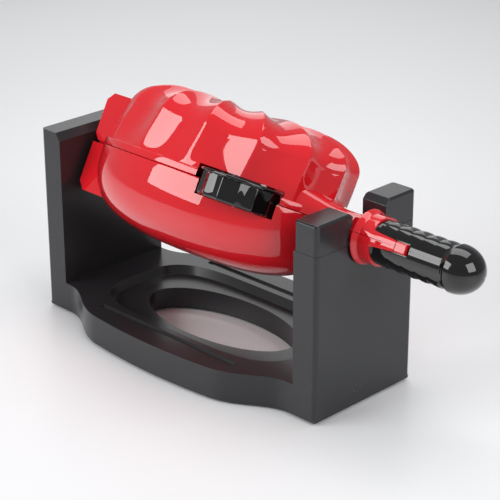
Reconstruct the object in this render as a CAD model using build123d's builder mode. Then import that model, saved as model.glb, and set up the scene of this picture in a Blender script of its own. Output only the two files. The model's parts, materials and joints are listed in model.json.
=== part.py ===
from build123d import *
from math import copysign, cos, radians, sin
import os

# Electric cake maker: a fluted oval cooker head that flips over in a two-post stand.
# Millimetres, +Z up, +X towards the handle. The origin is on the table, under the middle of the
# whole length, so the stand's own middle is at STAND_X.

# Driving dimensions of the stand
STAND_LENGTH = 338.0
STAND_DEPTH = 119.0
STAND_HEIGHT = 175.0
STAND_X = -58.0
APRON_DEPTH = 183.4
PLATFORM_TOP = 30.0
PLATE_BOTTOM = 2.0
PLATE_TOP = 5.0
SKIN = 3.0
DECK = 4.0
WALL_THICK = 25.0
CAP_SPLIT = 148.7
POST_EDGE = 4.0
HOLE_A, HOLE_B = 85.0, 41.0
DISH_A, DISH_B, DISH_POWER = 112.0, 58.5, 3.7
DISH_FLOOR, DISH_DRAFT = 22.0, 3.0
GROOVE_LENGTH, GROOVE_WIDTH, GROOVE_Y, GROOVE_DEPTH = 172.0, 7.0, 68.0, 2.0
FOOT_R, FOOT_X, FOOT_Y = 8.0, 155.0, 47.0
BASE_SCREWS = ((-125, -50), (-125, 50), (125, -50), (125, 50), (0, -78), (0, 78))
SCREW_R, SCREW_HEAD_R, SCREW_HEAD_HEIGHT, SCREW_LENGTH = 1.6, 3.2, 1.6, 9.0
GLAND_R, GLAND_Z = 6.0, 52.0

# Driving dimensions of the head, in its own axes: x to the handle, y to the back, z up from the seam
AXIS_Z = 150.5
TILT = 28.0
HEAD_A, HEAD_B = 126.0, 83.0
HEAD_DEPTH = 65.0
BOWL_POWER = 2.9
LID_BAND = 7.0
FLUTES = 14
SEAM_GAP = 0.3
SHELL_WALL = 3.0
HANDLE_END = 285.0

# Neck, collar and grip
NECK_R = 15.0
NECK_HALF_WIDTH = 8.5
NECK_SEAT_R = 23.0
COLLAR_START, COLLAR_END, COLLAR_R = 171.0, 187.0, 20.5
GRIP_START, GRIP_R, GRIP_FIT_R = 177.0, 19.0, 17.0
TONGUE_END, TONGUE_HALF = 212.0, 5.0
LATCH_START, LATCH_END = 212.8, 223.4
LATCH_FRONT, LATCH_BACK, LATCH_POCKET_BACK, LATCH_TRAVEL = -20.4, -12.5, -7.0, 3.0

# Hinge and trunnion
PIN_X, PIN_Z, PIN_R, PIN_LENGTH = -133.5, 37.0, 2.5, 49.6
BLOCK_LEFT, BLOCK_HALF, CHEEK_INNER, POST_HALF = -139.0, 27.0, 19.5, 19.0
BOSS_R = 5.5
BLOCK_TOP = 45.0
TRUNNION_R, TRUNNION_BORE, TRUNNION_END = 12.0, 8.0, -164.0
BUSH_R, BUSH_FLANGE_R = 14.0, 16.0
RUNNING = 0.08

# Dial at the seam, on the front right of the oval
DIAL_X, DIAL_Y = 72.3, -53.5
DIAL_FLANGE_R, DIAL_R = 36.2, 34.0
DIAL_BOTTOM, DIAL_STEP, DIAL_TOP = -12.5, 7.5, 10.0
DIAL_FLUTES, DIAL_FLUTE_DEPTH, DIAL_WALL = 14, 1.5, 5.0
POCKET_R, POCKET_FLOOR, POCKET_SKIN = 35.0, -13.3, 2.0
LID_POCKET_R, LID_POCKET_X, LID_POCKET_TOP = 37.8, DIAL_X - 1.2, 11.5
SPINDLE_R = 3.0
NECK_START, FAIRING_START, FAIRING_END = 119.0, 100.0, 139.0
BLOCK_RIGHT, BLOCK_COVER = -98.0, 43.2
WIRE_WAY_R, WIRE_WAY_Z = 4.5, -7.5

# Baking moulds
MOULD_X, MOULD_Y = -15.0, 8.0
MOULD_A, MOULD_B = 75.0, 41.0
MOULD_FLOOR_A, MOULD_FLOOR_B = 64.0, 32.0
MOULD_WALL = 2.0
LOWER_DEPTH, UPPER_DEPTH = 46.0, 48.0
FLANGE_A, FLANGE_B = 117.0, 75.0
FLANGE_TOP, FLANGE_THICK = 0.4, 2.5
ELEMENT_R, ELEMENT_A, ELEMENT_B = 3.2, 44.0, 18.0
REFLECTOR_A, REFLECTOR_B, REFLECTOR_THICK = 58.0, 30.0, 0.8

LEFT_FACE = STAND_X - STAND_LENGTH / 2
RIGHT_FACE = STAND_X + STAND_LENGTH / 2
HALF_DEPTH = STAND_DEPTH / 2
LEFT_INNER = LEFT_FACE + WALL_THICK
RIGHT_INNER = RIGHT_FACE - WALL_THICK

HEAD = Plane(
    origin=(STAND_X, 0, AXIS_Z),
    x_dir=(1, 0, 0),
    z_dir=(0, sin(radians(TILT)), cos(radians(TILT))),
)


def seam_plane(x=0.0, y=0.0, z=0.0):
    """Plane parallel to the head's seam, through a point given in the head's own axes."""
    return Plane(
        origin=HEAD.from_local_coords((x, y, z)), x_dir=HEAD.x_dir, z_dir=HEAD.z_dir
    )


def front_plane(y=0.0):
    """Plane that faces the head's front, with x along the head and y up from the seam."""
    return Plane(
        origin=HEAD.from_local_coords((0, y, 0)), x_dir=HEAD.x_dir, z_dir=-HEAD.y_dir
    )


def end_plane(x=0.0):
    """Plane that faces the handle's end, with x to the back and y up from the seam."""
    return Plane(
        origin=HEAD.from_local_coords((x, 0, 0)), x_dir=HEAD.y_dir, z_dir=HEAD.x_dir
    )


def oval_point(angle, share, a=HEAD_A, b=HEAD_B):
    """Point on the oval at a parameter angle in degrees, scaled by share."""
    return (share * a * cos(radians(angle)), share * b * sin(radians(angle)))


def bowl_share(z, depth=HEAD_DEPTH, power=BOWL_POWER):
    """Width of the bowl at a depth z below the seam, as a share of its width at the seam."""
    return (1 - (abs(z) / depth) ** power) ** (1 / power)


def stand_outline(inset=0.0):
    """Plan of the stand's foot: straight at both ends, with a bulging apron front and back."""
    half_length = STAND_LENGTH / 2 - inset
    side = HALF_DEPTH - inset
    apron = APRON_DEPTH / 2 - inset
    shoulder = apron - 4.2
    with BuildLine() as outline:
        Line((-half_length, -side), (-140, -side))
        Bezier((-140, -side), (-114, -side), (-102, -shoulder + 3.6), (-70, -shoulder))
        ThreePointArc((-70, -shoulder), (0, -apron), (70, -shoulder))
        Bezier((70, -shoulder), (102, -shoulder + 3.6), (114, -side), (140, -side))
        Line((140, -side), (half_length, -side))
        Line((half_length, -side), (half_length, 0))
        Line((-half_length, -side), (-half_length, 0))
        mirror(about=Plane.XZ)
    return outline.line


def dish_outline(inset=0.0):
    """Plan of the dish in the deck: a superellipse, as a closed spline through its points."""
    points = []
    for step in range(48):
        across, along = cos(radians(7.5 * step)), sin(radians(7.5 * step))
        points.append((
            (DISH_A - inset) * copysign(abs(across) ** (2 / DISH_POWER), across),
            (DISH_B - inset) * copysign(abs(along) ** (2 / DISH_POWER), along),
        ))
    with BuildLine() as outline:
        Spline(*points, periodic=True)
    return outline.line


def save(part, name):
    """Label a finished piece and write its file."""
    part.label = name
    export_step(part, f"parts/{name}.step")


os.makedirs("parts", exist_ok=True)

# Stand: the deck with its dished oval hole, the left wall and the right column in one moulding
with BuildPart() as deck_void:
    with BuildSketch(Plane((STAND_X, 0, 0))):
        add(stand_outline(SKIN))
        make_face()
    extrude(amount=PLATFORM_TOP - DECK)
    with BuildSketch(Plane((STAND_X, 0, DISH_FLOOR - SKIN))):
        add(dish_outline(-SKIN))
        make_face()
    extrude(amount=PLATFORM_TOP - DISH_FLOOR, mode=Mode.SUBTRACT)
    with BuildSketch(Plane((STAND_X, 0, 0))):
        Ellipse(HOLE_A + SKIN, HOLE_B + SKIN)
    extrude(amount=DISH_FLOOR, mode=Mode.SUBTRACT)

with BuildPart() as stand_shell:
    with BuildSketch(Plane((STAND_X, 0, PLATE_TOP))):
        add(stand_outline())
        make_face()
    extrude(amount=PLATFORM_TOP - PLATE_TOP)
    with BuildSketch(Plane((LEFT_FACE + WALL_THICK / 2, 0, PLATE_TOP))):
        Rectangle(WALL_THICK, STAND_DEPTH)
    extrude(amount=STAND_HEIGHT - PLATE_TOP)
    with BuildSketch(Plane((RIGHT_FACE - WALL_THICK / 2, 0, PLATE_TOP))):
        Rectangle(WALL_THICK, STAND_DEPTH)
    extrude(amount=CAP_SPLIT - PLATE_TOP)
    wall_top = stand_shell.faces().sort_by(Axis.Z)[-1]
    chamfer(wall_top.edges().filter_by(Axis.Y).sort_by(Axis.X)[-1], length=7, length2=5)
    posts = stand_shell.edges().filter_by(Axis.Z).filter_by(
        lambda e: abs(abs(e.center().Y) - HALF_DEPTH) < 0.1
        and abs(abs(e.center().X - STAND_X) - STAND_LENGTH / 2) < 0.1
    )
    fillet(posts, radius=POST_EDGE)
    with BuildSketch(Plane((STAND_X, 0, DISH_FLOOR))):
        add(dish_outline(DISH_DRAFT))
        make_face()
    with BuildSketch(Plane((STAND_X, 0, PLATFORM_TOP))):
        add(dish_outline())
        make_face()
    loft(ruled=True, mode=Mode.SUBTRACT)
    with BuildSketch(Plane((STAND_X, 0, 0))):
        Ellipse(HOLE_A, HOLE_B)
    extrude(amount=PLATFORM_TOP, mode=Mode.SUBTRACT)
    with BuildSketch(Plane((STAND_X, 0, PLATFORM_TOP))):
        with Locations((0, GROOVE_Y), (0, -GROOVE_Y)):
            SlotOverall(GROOVE_LENGTH, GROOVE_WIDTH)
    extrude(amount=-GROOVE_DEPTH, mode=Mode.SUBTRACT)
    add(deck_void.part, mode=Mode.SUBTRACT)
    with BuildSketch(Plane((LEFT_FACE + WALL_THICK / 2, 0, 0))):
        Rectangle(WALL_THICK - 2 * SKIN, STAND_DEPTH - 2 * SKIN)
    extrude(amount=STAND_HEIGHT - 2 * SKIN - 2, mode=Mode.SUBTRACT)
    with BuildSketch(Plane((RIGHT_FACE - WALL_THICK / 2, 0, 0))):
        Rectangle(WALL_THICK - 2 * SKIN, STAND_DEPTH - 2 * SKIN)
    extrude(amount=CAP_SPLIT - SKIN, mode=Mode.SUBTRACT)
    with BuildSketch(Plane.YZ.offset(RIGHT_INNER)):
        with Locations((0, AXIS_Z)):
            Circle(NECK_SEAT_R + SKIN)
        with Locations((0, CAP_SPLIT)):
            Rectangle(100, 100, align=(Align.CENTER, Align.MIN), mode=Mode.SUBTRACT)
    extrude(amount=WALL_THICK)
    with BuildSketch(Plane.YZ.offset(RIGHT_INNER)):
        with Locations((0, AXIS_Z)):
            Circle(NECK_SEAT_R)
    extrude(amount=WALL_THICK, mode=Mode.SUBTRACT)
    with BuildSketch(Plane.YZ.offset(LEFT_INNER)):
        with Locations((0, AXIS_Z)):
            Circle(BUSH_R)
    extrude(amount=-SKIN, mode=Mode.SUBTRACT)
    with BuildSketch(Plane.XZ.offset(-HALF_DEPTH)):
        with Locations((LEFT_FACE + WALL_THICK / 2, GLAND_Z)):
            Circle(GLAND_R)
    extrude(amount=SKIN, mode=Mode.SUBTRACT)
    with BuildSketch(Plane((STAND_X, 0, PLATE_TOP))):
        with Locations(*BASE_SCREWS):
            Circle(4)
    extrude(amount=PLATFORM_TOP - PLATE_TOP - 1)
    with BuildSketch(Plane((STAND_X, 0, PLATE_TOP))):
        with Locations(*BASE_SCREWS):
            Circle(SCREW_R)
    extrude(amount=SCREW_LENGTH, mode=Mode.SUBTRACT)
save(stand_shell.part, "stand_shell")

with BuildPart() as bottom_plate:
    with BuildSketch(Plane((STAND_X, 0, PLATE_BOTTOM))):
        add(stand_outline(0.8))
        make_face()
        Ellipse(HOLE_A, HOLE_B, mode=Mode.SUBTRACT)
    extrude(amount=PLATE_TOP - PLATE_BOTTOM)
    with BuildSketch(Plane((STAND_X, 0, PLATE_BOTTOM))):
        with Locations(*BASE_SCREWS):
            Circle(SCREW_R)
    extrude(amount=PLATE_TOP - PLATE_BOTTOM, mode=Mode.SUBTRACT)
    with BuildSketch(Plane((STAND_X, 0, PLATE_BOTTOM))):
        with Locations(*BASE_SCREWS):
            Circle(SCREW_HEAD_R)
    extrude(amount=SCREW_HEAD_HEIGHT, mode=Mode.SUBTRACT)
save(bottom_plate.part, "bottom_plate")

with BuildPart() as base_screws:
    with BuildSketch(Plane((STAND_X, 0, PLATE_BOTTOM))):
        with Locations(*BASE_SCREWS):
            Circle(SCREW_HEAD_R)
    extrude(amount=SCREW_HEAD_HEIGHT)
    with BuildSketch(Plane((STAND_X, 0, PLATE_BOTTOM))):
        with Locations(*BASE_SCREWS):
            Circle(SCREW_R)
    extrude(amount=PLATE_TOP - PLATE_BOTTOM + SCREW_LENGTH)
save(base_screws.part, "base_screws")

# Gland in the back of the left wall, where the mains lead enters
with BuildPart() as cord_gland:
    with BuildSketch(Plane.XZ.offset(-HALF_DEPTH)):
        with Locations((LEFT_FACE + WALL_THICK / 2, GLAND_Z)):
            Circle(GLAND_R + 3)
    extrude(amount=-2)
    with BuildSketch(Plane.XZ.offset(-HALF_DEPTH)):
        with Locations((LEFT_FACE + WALL_THICK / 2, GLAND_Z)):
            Circle(GLAND_R)
    extrude(amount=SKIN)
    with BuildSketch(Plane.XZ.offset(-HALF_DEPTH + SKIN)):
        with Locations((LEFT_FACE + WALL_THICK / 2, GLAND_Z)):
            Circle(GLAND_R + 2)
    extrude(amount=3)
    with BuildSketch(Plane.XZ.offset(-HALF_DEPTH - 2)):
        with Locations((LEFT_FACE + WALL_THICK / 2, GLAND_Z)):
            Circle(3.5)
    extrude(amount=SKIN + 5, mode=Mode.SUBTRACT)
save(cord_gland.part, "cord_gland")

# Cap of the right column: two posts with the open throat between them
THROAT_FRONT, THROAT_BACK = -17.5, 22.0
with BuildPart() as column_caps:
    with BuildSketch(Plane((RIGHT_FACE - WALL_THICK / 2, 0, CAP_SPLIT))):
        Rectangle(WALL_THICK, STAND_DEPTH)
    extrude(amount=STAND_HEIGHT - CAP_SPLIT)
    outer = column_caps.edges().filter_by(Axis.Z)
    fillet(outer, radius=POST_EDGE)
    with BuildSketch(Plane.YZ.offset(RIGHT_INNER)):
        with BuildLine():
            Polyline(
                (THROAT_FRONT, CAP_SPLIT),
                (THROAT_FRONT, STAND_HEIGHT - 3),
                (THROAT_FRONT - 3, STAND_HEIGHT),
                (THROAT_BACK + 5, STAND_HEIGHT),
                (THROAT_BACK, STAND_HEIGHT - 5),
                (THROAT_BACK, CAP_SPLIT),
                close=True,
            )
        make_face()
        with Locations((0, AXIS_Z)):
            Circle(NECK_SEAT_R)
    extrude(amount=WALL_THICK, mode=Mode.SUBTRACT)
    front_middle = (-HALF_DEPTH + THROAT_FRONT - SKIN) / 2
    back_middle = (HALF_DEPTH + THROAT_BACK + 5) / 2
    with BuildSketch(Plane((RIGHT_FACE - WALL_THICK / 2, 0, CAP_SPLIT))):
        with Locations((0, front_middle - 3)):
            Rectangle(WALL_THICK - 2 * SKIN, 26)
        with Locations((0, back_middle + 2)):
            Rectangle(WALL_THICK - 2 * SKIN, 20)
    extrude(amount=STAND_HEIGHT - CAP_SPLIT - SKIN - 1, mode=Mode.SUBTRACT)
    top_rim = column_caps.faces().filter_by(Axis.Z).group_by(Axis.Z)[-1].edges()
    chamfer(top_rim.filter_by(Axis.Y), length=1.5)
cap_solids = column_caps.part.solids().sort_by(Axis.Y)
save(Part(cap_solids[0].wrapped), "front_column_cap")
save(Part(cap_solids[-1].wrapped), "back_column_cap")

# Half-round liner that the neck turns in
with BuildPart() as neck_bearing:
    with BuildSketch(Plane.YZ.offset(RIGHT_INNER + 1)):
        with Locations((0, AXIS_Z)):
            Circle(NECK_SEAT_R)
            Circle(NECK_R + RUNNING, mode=Mode.SUBTRACT)
        with Locations((0, AXIS_Z - 2)):
            Rectangle(100, 100, align=(Align.CENTER, Align.MIN), mode=Mode.SUBTRACT)
    extrude(amount=WALL_THICK - 2)
save(neck_bearing.part, "neck_bearing")

# Bushes of the left trunnion: a flanged one in the inner skin and a plain one on the outer skin
with BuildPart() as trunnion_bushes:
    with BuildSketch(Plane.YZ.offset(LEFT_INNER + 1)):
        with Locations((0, AXIS_Z)):
            Circle(BUSH_R)
            Circle(TRUNNION_R + RUNNING, mode=Mode.SUBTRACT)
    extrude(amount=-SKIN - 1)
    with BuildSketch(Plane.YZ.offset(LEFT_INNER - SKIN)):
        with Locations((0, AXIS_Z)):
            Circle(BUSH_FLANGE_R)
            Circle(TRUNNION_R + RUNNING, mode=Mode.SUBTRACT)
    extrude(amount=-2)
    with BuildSketch(Plane.YZ.offset(LEFT_FACE + SKIN)):
        with Locations((0, AXIS_Z)):
            Circle(BUSH_FLANGE_R)
            Circle(TRUNNION_R + RUNNING, mode=Mode.SUBTRACT)
    extrude(amount=5)
save(trunnion_bushes.part, "trunnion_bushes")

# Spring detent under the trunnion's disc, which holds the head where it is turned
DETENT_X = LEFT_FACE + WALL_THICK / 2
DISC_R = 16.0
PLUNGER_R = 3.5
PLUNGER_TOP = AXIS_Z - DISC_R - 0.2
PLUNGER_LENGTH = 16.0
SPRING_LENGTH = 15.0
with BuildPart() as detent_bracket:
    with BuildSketch(Plane((DETENT_X, 0, PLUNGER_TOP - 7))):
        Rectangle(WALL_THICK - 2 * SKIN, 16)
    extrude(amount=-28)
    with BuildSketch(Plane((DETENT_X, 0, PLUNGER_TOP))):
        Circle(PLUNGER_R + RUNNING)
    extrude(amount=-PLUNGER_LENGTH - SPRING_LENGTH, mode=Mode.SUBTRACT)
save(detent_bracket.part, "detent_bracket")

with BuildPart() as detent_plunger:
    with BuildSketch(Plane((DETENT_X, 0, PLUNGER_TOP))):
        Circle(PLUNGER_R)
    extrude(amount=-PLUNGER_LENGTH)
    fillet(detent_plunger.edges().sort_by(Axis.Z)[-1], radius=2.5)
save(detent_plunger.part, "detent_plunger")

with BuildPart() as detent_spring:
    with BuildSketch(Plane((DETENT_X, 0, PLUNGER_TOP - PLUNGER_LENGTH))):
        Circle(3.1)
        Circle(2.3, mode=Mode.SUBTRACT)
    extrude(amount=-SPRING_LENGTH)
save(detent_spring.part, "detent_spring")

with BuildPart() as rubber_feet:
    with BuildSketch(Plane((STAND_X, 0, 0))):
        with GridLocations(2 * FOOT_X, 2 * FOOT_Y, 2, 2):
            Circle(FOOT_R)
    extrude(amount=PLATE_BOTTOM)
    chamfer(rubber_feet.edges().group_by(Axis.Z)[0], length=0.5)
save(rubber_feet.part, "rubber_feet")

# Outer body of the bowl, before it is hollowed
BOWL_LEVELS = (0, -14, -28, -40, -50, -57, -62)
with BuildPart() as bowl_body:
    for level in BOWL_LEVELS:
        share = bowl_share(level)
        with BuildSketch(seam_plane(z=level - (SEAM_GAP / 2 if level == 0 else 0))):
            Ellipse(HEAD_A * share, HEAD_B * share)
    loft()

with BuildPart() as bowl_core:
    for level in BOWL_LEVELS:
        share = bowl_share(level)
        with BuildSketch(seam_plane(z=level + (1 if level == 0 else 3.5))):
            Ellipse(HEAD_A * share - SHELL_WALL, HEAD_B * share - SHELL_WALL)
    loft()

# Outer body of the lid: a smooth band, then flutes that meet in sharp ridges. Each level has the
# ridges' share of the seam's oval, the hollows' share of the ridges', and a shift to the handle.
LID_LEVELS = (
    (LID_BAND, 0.985, 0.978, 0.0),
    (16.0, 0.983, 0.958, 1.5),
    (30.0, 0.973, 0.944, 4.0),
    (44.0, 0.952, 0.938, 6.0),
    (55.0, 0.905, 0.935, 7.0),
    (62.5, 0.835, 0.930, 7.0),
    (67.5, 0.740, 0.925, 7.0),
)
with BuildPart() as lid_body:
    for level, ridge, valley, shift in LID_LEVELS:
        with BuildSketch(seam_plane(shift, 0, level)):
            with BuildLine():
                for flute in range(FLUTES):
                    step = 360 / FLUTES
                    ThreePointArc(
                        oval_point(flute * step, ridge),
                        oval_point((flute + 0.5) * step, ridge * valley),
                        oval_point((flute + 1) * step, ridge),
                    )
            make_face()
    loft()
    with BuildSketch(seam_plane(z=SEAM_GAP / 2)):
        Ellipse(HEAD_A, HEAD_B)
    extrude(amount=LID_BAND - SEAM_GAP / 2)

CORE_LEVELS = (
    (-1, 0.958, 0),
    (12, 0.918, 1),
    (30, 0.888, 4),
    (44, 0.863, 6),
    (55, 0.813, 7),
    (61, 0.740, 7),
    (63.5, 0.660, 7),
)
with BuildPart() as lid_core:
    for level, share, shift in CORE_LEVELS:
        with BuildSketch(seam_plane(shift, 0, level)):
            Ellipse(HEAD_A * share, HEAD_B * share)
    loft()

# Bosses that the mould flanges are screwed to, the same places in both halves
BOSS_PLACES = ((-100, 28), (-100, -18), (96, 36), (-20, -62), (30, 66))
with BuildPart() as bowl_bosses:
    with BuildSketch(seam_plane(z=-FLANGE_TOP - FLANGE_THICK)):
        with Locations(*BOSS_PLACES):
            Circle(4)
    extrude(amount=-60)
    add(bowl_body.part, mode=Mode.INTERSECT)

with BuildPart() as bowl_pocket:
    with BuildSketch(seam_plane(DIAL_X, DIAL_Y, POCKET_FLOOR - POCKET_SKIN)):
        Circle(POCKET_R + POCKET_SKIN)
    extrude(amount=-POCKET_FLOOR + POCKET_SKIN - FLANGE_TOP - FLANGE_THICK - 0.3)
    add(bowl_body.part, mode=Mode.INTERSECT)

with BuildPart() as lid_pocket:
    with BuildSketch(seam_plane(LID_POCKET_X, DIAL_Y, FLANGE_TOP + FLANGE_THICK + 0.3)):
        Circle(LID_POCKET_R + POCKET_SKIN)
    extrude(amount=LID_POCKET_TOP + POCKET_SKIN - FLANGE_TOP - FLANGE_THICK - 0.3)
    add(lid_body.part, mode=Mode.INTERSECT)

with BuildPart() as lid_bosses:
    with BuildSketch(seam_plane(z=FLANGE_TOP + FLANGE_THICK)):
        with Locations(*BOSS_PLACES):
            Circle(4)
    extrude(amount=62)
    add(lid_body.part, mode=Mode.INTERSECT)


def half_ring(radius, inner, start, end, sign):
    """Half tube along the head's axis on one side of the seam."""
    with BuildPart() as ring:
        with BuildSketch(end_plane(start)):
            Circle(radius)
            if inner:
                Circle(inner, mode=Mode.SUBTRACT)
            with Locations((0, -sign * 50 + sign * SEAM_GAP / 2)):
                Rectangle(100, 100, mode=Mode.SUBTRACT)
        extrude(amount=end - start)
    return ring.part


def tongue(sign):
    """Front tongue of the collar, which lies in the grip beside the seam."""
    with BuildPart() as piece:
        with BuildSketch(end_plane(COLLAR_END - 1)):
            Circle(GRIP_R + 0.8)
            Circle(14.5, mode=Mode.SUBTRACT)
            with Locations((-15, sign * (TONGUE_HALF + SEAM_GAP / 2) / 2)):
                Rectangle(20, TONGUE_HALF - SEAM_GAP / 2, mode=Mode.INTERSECT)
        extrude(amount=TONGUE_END - COLLAR_END + 1)
    return piece.part


def tang(sign):
    """Flat core of the handle, inside the grips."""
    with BuildPart() as piece:
        with BuildSketch(end_plane(COLLAR_START)):
            with Locations((0, sign * 3.5)):
                Rectangle(14, 5)
        extrude(amount=206 - COLLAR_START)
    return piece.part


# Lower shell: bowl, dial pocket, half neck, half collar with its tongue and tang
with BuildPart() as lower_shell:
    add(bowl_body.part)
    add(bowl_core.part, mode=Mode.SUBTRACT)
    add(bowl_bosses.part)
    add(bowl_pocket.part)
    with BuildSketch(end_plane(NECK_START)):
        Circle(NECK_R)
        with Locations((0, 50 - SEAM_GAP / 2)):
            Rectangle(100, 100, mode=Mode.SUBTRACT)
    extrude(amount=COLLAR_START - NECK_START)
    add(half_ring(COLLAR_R, 0, COLLAR_START, COLLAR_START + 5, -1))
    add(half_ring(COLLAR_R, GRIP_FIT_R, COLLAR_START, COLLAR_END, -1))
    add(tang(-1))
    add(tongue(-1))
    with BuildSketch(seam_plane(DIAL_X, DIAL_Y, POCKET_FLOOR)):
        Circle(POCKET_R)
    extrude(amount=20, mode=Mode.SUBTRACT)
    with BuildSketch(seam_plane(DIAL_X, DIAL_Y, POCKET_FLOOR)):
        Circle(SPINDLE_R + RUNNING)
    extrude(amount=-5, mode=Mode.SUBTRACT)
    with BuildSketch(seam_plane(z=-FLANGE_TOP - FLANGE_THICK)):
        with Locations(*BOSS_PLACES):
            Circle(SCREW_R)
    extrude(amount=-SCREW_LENGTH, mode=Mode.SUBTRACT)
    with BuildSketch(end_plane(BLOCK_LEFT)):
        with Locations((0, WIRE_WAY_Z)):
            Circle(WIRE_WAY_R)
    extrude(amount=25, mode=Mode.SUBTRACT)
save(lower_shell.part, "lower_shell")

# Lid shell: fluted dome, dial pocket, fairing to a narrow half neck, half collar
with BuildPart() as fairing:
    for x, half_width, height in ((FAIRING_START, 42, 26), (FAIRING_END, 14, 14.5)):
        with BuildSketch(end_plane(x)):
            Ellipse(half_width, height)
            with Locations((0, -50 + SEAM_GAP / 2)):
                Rectangle(100, 100, mode=Mode.SUBTRACT)
    loft()

with BuildPart() as lid_shell:
    add(lid_body.part)
    add(fairing.part)
    add(lid_core.part, mode=Mode.SUBTRACT)
    add(lid_bosses.part)
    add(lid_pocket.part)
    with BuildSketch(end_plane(FAIRING_END - 5)):
        Circle(NECK_R)
        with Locations((0, 50 + SEAM_GAP / 2)):
            Rectangle(2 * NECK_HALF_WIDTH, 100, mode=Mode.INTERSECT)
    extrude(amount=COLLAR_START - FAIRING_END + 5)
    add(half_ring(COLLAR_R, 0, COLLAR_START, COLLAR_START + 5, 1))
    add(half_ring(COLLAR_R, GRIP_FIT_R, COLLAR_START, COLLAR_END, 1))
    add(tang(1))
    add(tongue(1))
    with BuildSketch(seam_plane(LID_POCKET_X, DIAL_Y, -1)):
        Circle(LID_POCKET_R)
    extrude(amount=LID_POCKET_TOP + 1, mode=Mode.SUBTRACT)
    with BuildSketch(seam_plane(z=FLANGE_TOP + FLANGE_THICK)):
        with Locations(*BOSS_PLACES):
            Circle(SCREW_R)
    extrude(amount=SCREW_LENGTH, mode=Mode.SUBTRACT)
save(lid_shell.part, "lid_shell")

# Lid's hinge block: a cheek on each side of the post, joined by a thin cover
with BuildPart() as lid_hinge_block:
    with BuildSketch(front_plane(BLOCK_HALF)):
        with BuildLine():
            Polyline(
                (BLOCK_LEFT, 6),
                (BLOCK_LEFT, BLOCK_TOP - 7),
                (BLOCK_LEFT + 7, BLOCK_TOP),
                (BLOCK_RIGHT, BLOCK_TOP),
                (BLOCK_RIGHT, 0.3),
                (BLOCK_LEFT + 5.7, 0.3),
                close=True,
            )
        make_face()
    extrude(amount=2 * BLOCK_HALF)
    with BuildSketch(front_plane(CHEEK_INNER)):
        with Locations((BLOCK_RIGHT, -1)):
            Rectangle(80, BLOCK_COVER + 1, align=(Align.MAX, Align.MIN))
    extrude(amount=2 * CHEEK_INNER, mode=Mode.SUBTRACT)
    with BuildSketch(front_plane(PIN_LENGTH / 2 + 0.2)):
        with Locations((PIN_X, PIN_Z)):
            Circle(PIN_R + RUNNING)
    extrude(amount=PIN_LENGTH + 0.4, mode=Mode.SUBTRACT)
    add(lid_body.part, mode=Mode.SUBTRACT)
save(lid_hinge_block.part, "lid_hinge_block")

# Lower hinge block, with the post that carries the pin and the trunnion
with BuildPart() as lower_hinge_block:
    with BuildSketch(front_plane(BLOCK_HALF)):
        with BuildLine():
            Polyline(
                (BLOCK_LEFT, -1.9),
                (BLOCK_LEFT, -39),
                (BLOCK_LEFT + 7.5, -46.5),
                (BLOCK_RIGHT, -46.5),
                (BLOCK_RIGHT, -1.9),
                close=True,
            )
        make_face()
    extrude(amount=2 * BLOCK_HALF)
    with BuildSketch(front_plane(POST_HALF)):
        with Locations((PIN_X, -3)):
            Rectangle(2 * BOSS_R, PIN_Z + 3, align=(Align.CENTER, Align.MIN))
        with Locations((PIN_X, PIN_Z)):
            Circle(BOSS_R)
    extrude(amount=2 * POST_HALF)
    with BuildSketch(front_plane(POST_HALF)):
        with Locations((PIN_X, PIN_Z)):
            Circle(PIN_R)
    extrude(amount=2 * POST_HALF, mode=Mode.SUBTRACT)
    add(bowl_body.part, mode=Mode.SUBTRACT)
    with BuildSketch(end_plane(BLOCK_LEFT)):
        with Locations((0, WIRE_WAY_Z)):
            Circle(WIRE_WAY_R)
    extrude(amount=25, mode=Mode.SUBTRACT)
save(lower_hinge_block.part, "lower_hinge_block")

with BuildPart() as hinge_pin:
    with BuildSketch(front_plane(PIN_LENGTH / 2)):
        with Locations((PIN_X, PIN_Z)):
            Circle(PIN_R)
    extrude(amount=PIN_LENGTH)
save(hinge_pin.part, "hinge_pin")

# Hollow trunnion on the post, which turns in the left wall
with BuildPart() as trunnion:
    with BuildSketch(end_plane(BLOCK_LEFT)):
        Circle(17)
    extrude(amount=-2.5)
    with BuildSketch(end_plane(BLOCK_LEFT)):
        Circle(TRUNNION_R)
    extrude(amount=TRUNNION_END - BLOCK_LEFT)
    with BuildSketch(end_plane(BLOCK_LEFT)):
        Circle(TRUNNION_BORE)
    extrude(amount=TRUNNION_END - BLOCK_LEFT, mode=Mode.SUBTRACT)
save(trunnion.part, "trunnion")

# Notched disc on the trunnion: level, tilted and upside-down places
DISC_START = DETENT_X - STAND_X - 2.5
with BuildPart() as detent_disc:
    with BuildSketch(Plane.YZ.offset(STAND_X + DISC_START)):
        with Locations((0, AXIS_Z)):
            Circle(DISC_R)
            Circle(TRUNNION_R, mode=Mode.SUBTRACT)
        for turn in (0, -TILT, 180 - TILT):
            edge = (DISC_R + 2.2) * sin(radians(turn)), (DISC_R + 2.2) * cos(radians(turn))
            with Locations((edge[0], AXIS_Z - edge[1])):
                Circle(3.5, mode=Mode.SUBTRACT)
    extrude(amount=5)
save(detent_disc.part, "detent_disc")


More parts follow.
